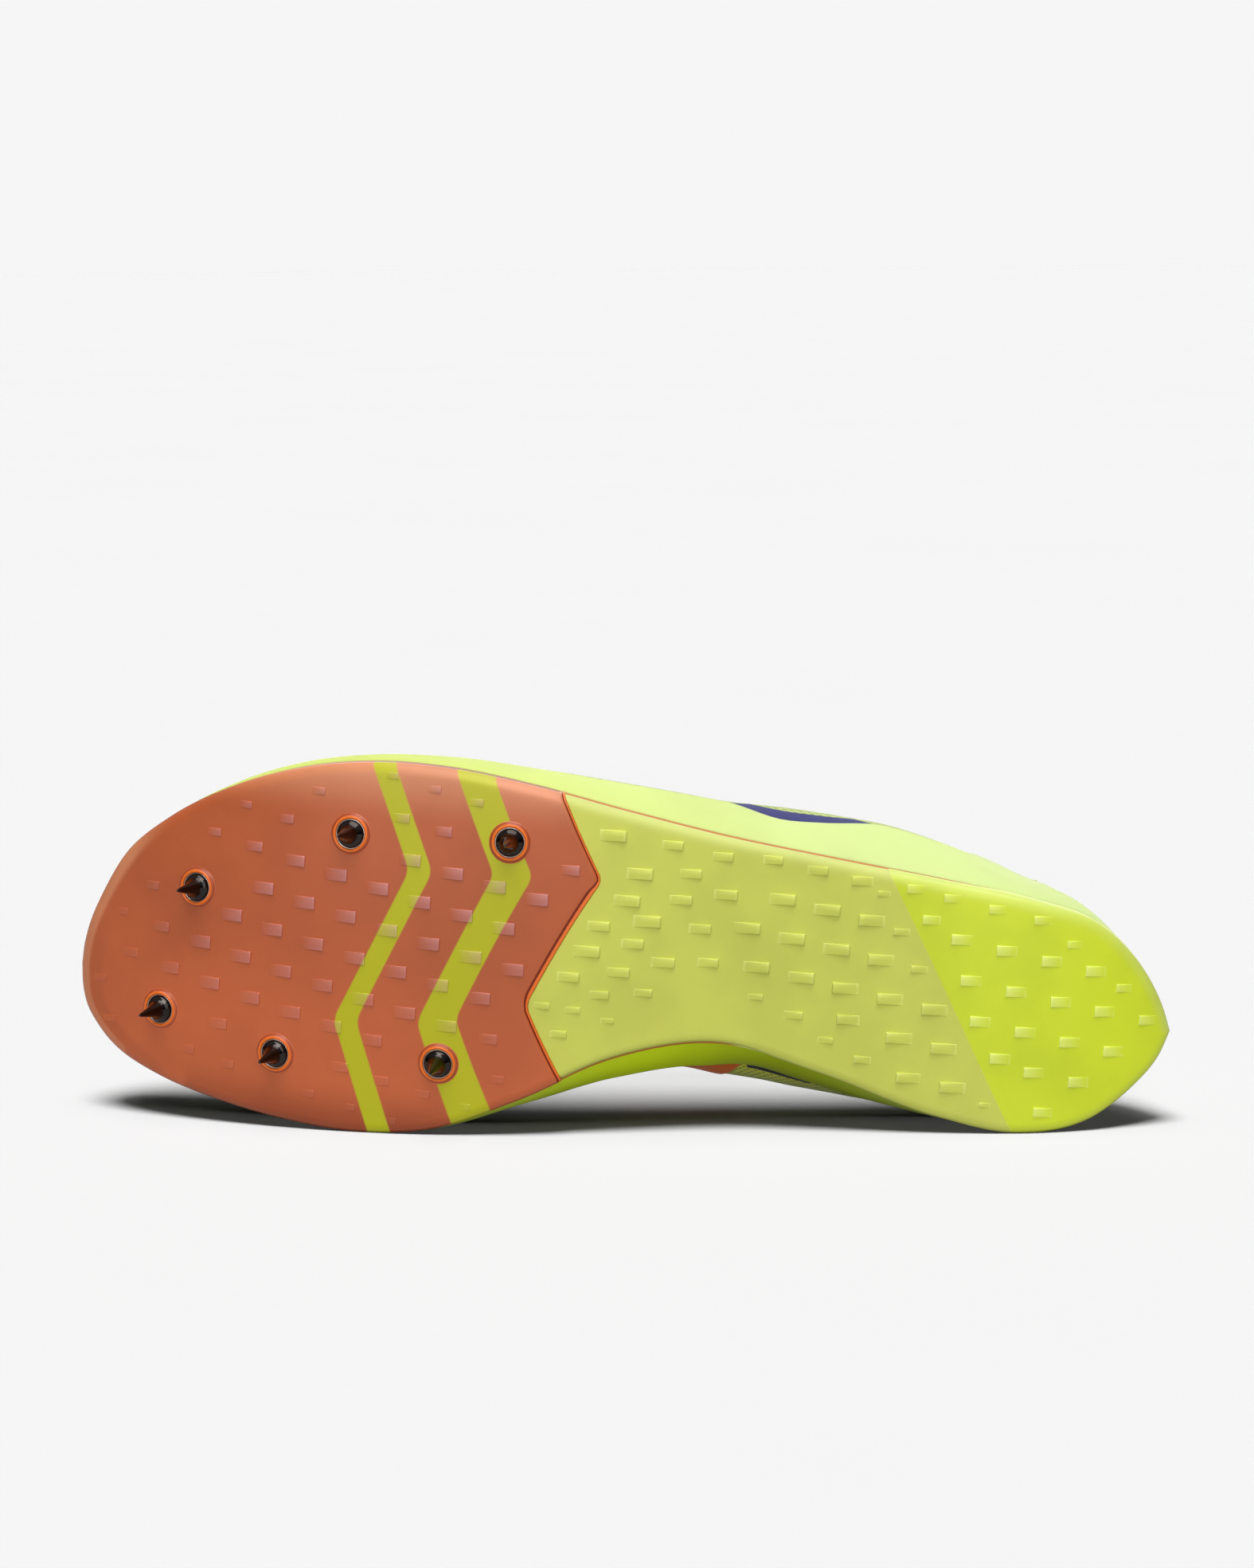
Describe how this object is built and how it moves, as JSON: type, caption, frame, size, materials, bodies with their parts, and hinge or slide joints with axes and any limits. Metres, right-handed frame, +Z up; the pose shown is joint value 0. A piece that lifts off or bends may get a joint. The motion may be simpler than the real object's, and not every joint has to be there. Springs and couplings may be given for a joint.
{
  "type": "cross country running spike",
  "caption": "Left cross country running spike lying on its medial side: knitted upper, foam midsole, moulded forefoot plate with screw-in spikes and rubber pads.",
  "frame": {"origin": "on the floor below the centre of the lying shoe's bounding box", "axes": "+X from toe to heel, +Y from the sole to the collar, +Z up from the medial side that lies on the floor to the lateral side"},
  "size_m": [0.2892, 0.1026, 0.098],
  "materials": {
    "plate": "translucent orange moulding",
    "midfoot_pad": "matte pale yellow rubber",
    "heel_pad": "satin lime rubber",
    "midsole": "matte foam",
    "insole": "brushed textile",
    "upper": "fine knit",
    "tongue": "fine knit",
    "lace": "woven lace",
    "spike": "blackened polished steel"
  },
  "bodies": {
    "root": {"plate": "plate", "midfoot_pad": "midfoot_pad", "heel_pad": "heel_pad", "midsole": "midsole", "insole": "insole", "upper": "upper", "tongue": "tongue", "lace": "lace", "spike_1": "spike", "spike_2": "spike", "spike_3": "spike", "spike_4": "spike", "spike_5": "spike", "spike_6": "spike"}
  },
  "joints": []
}
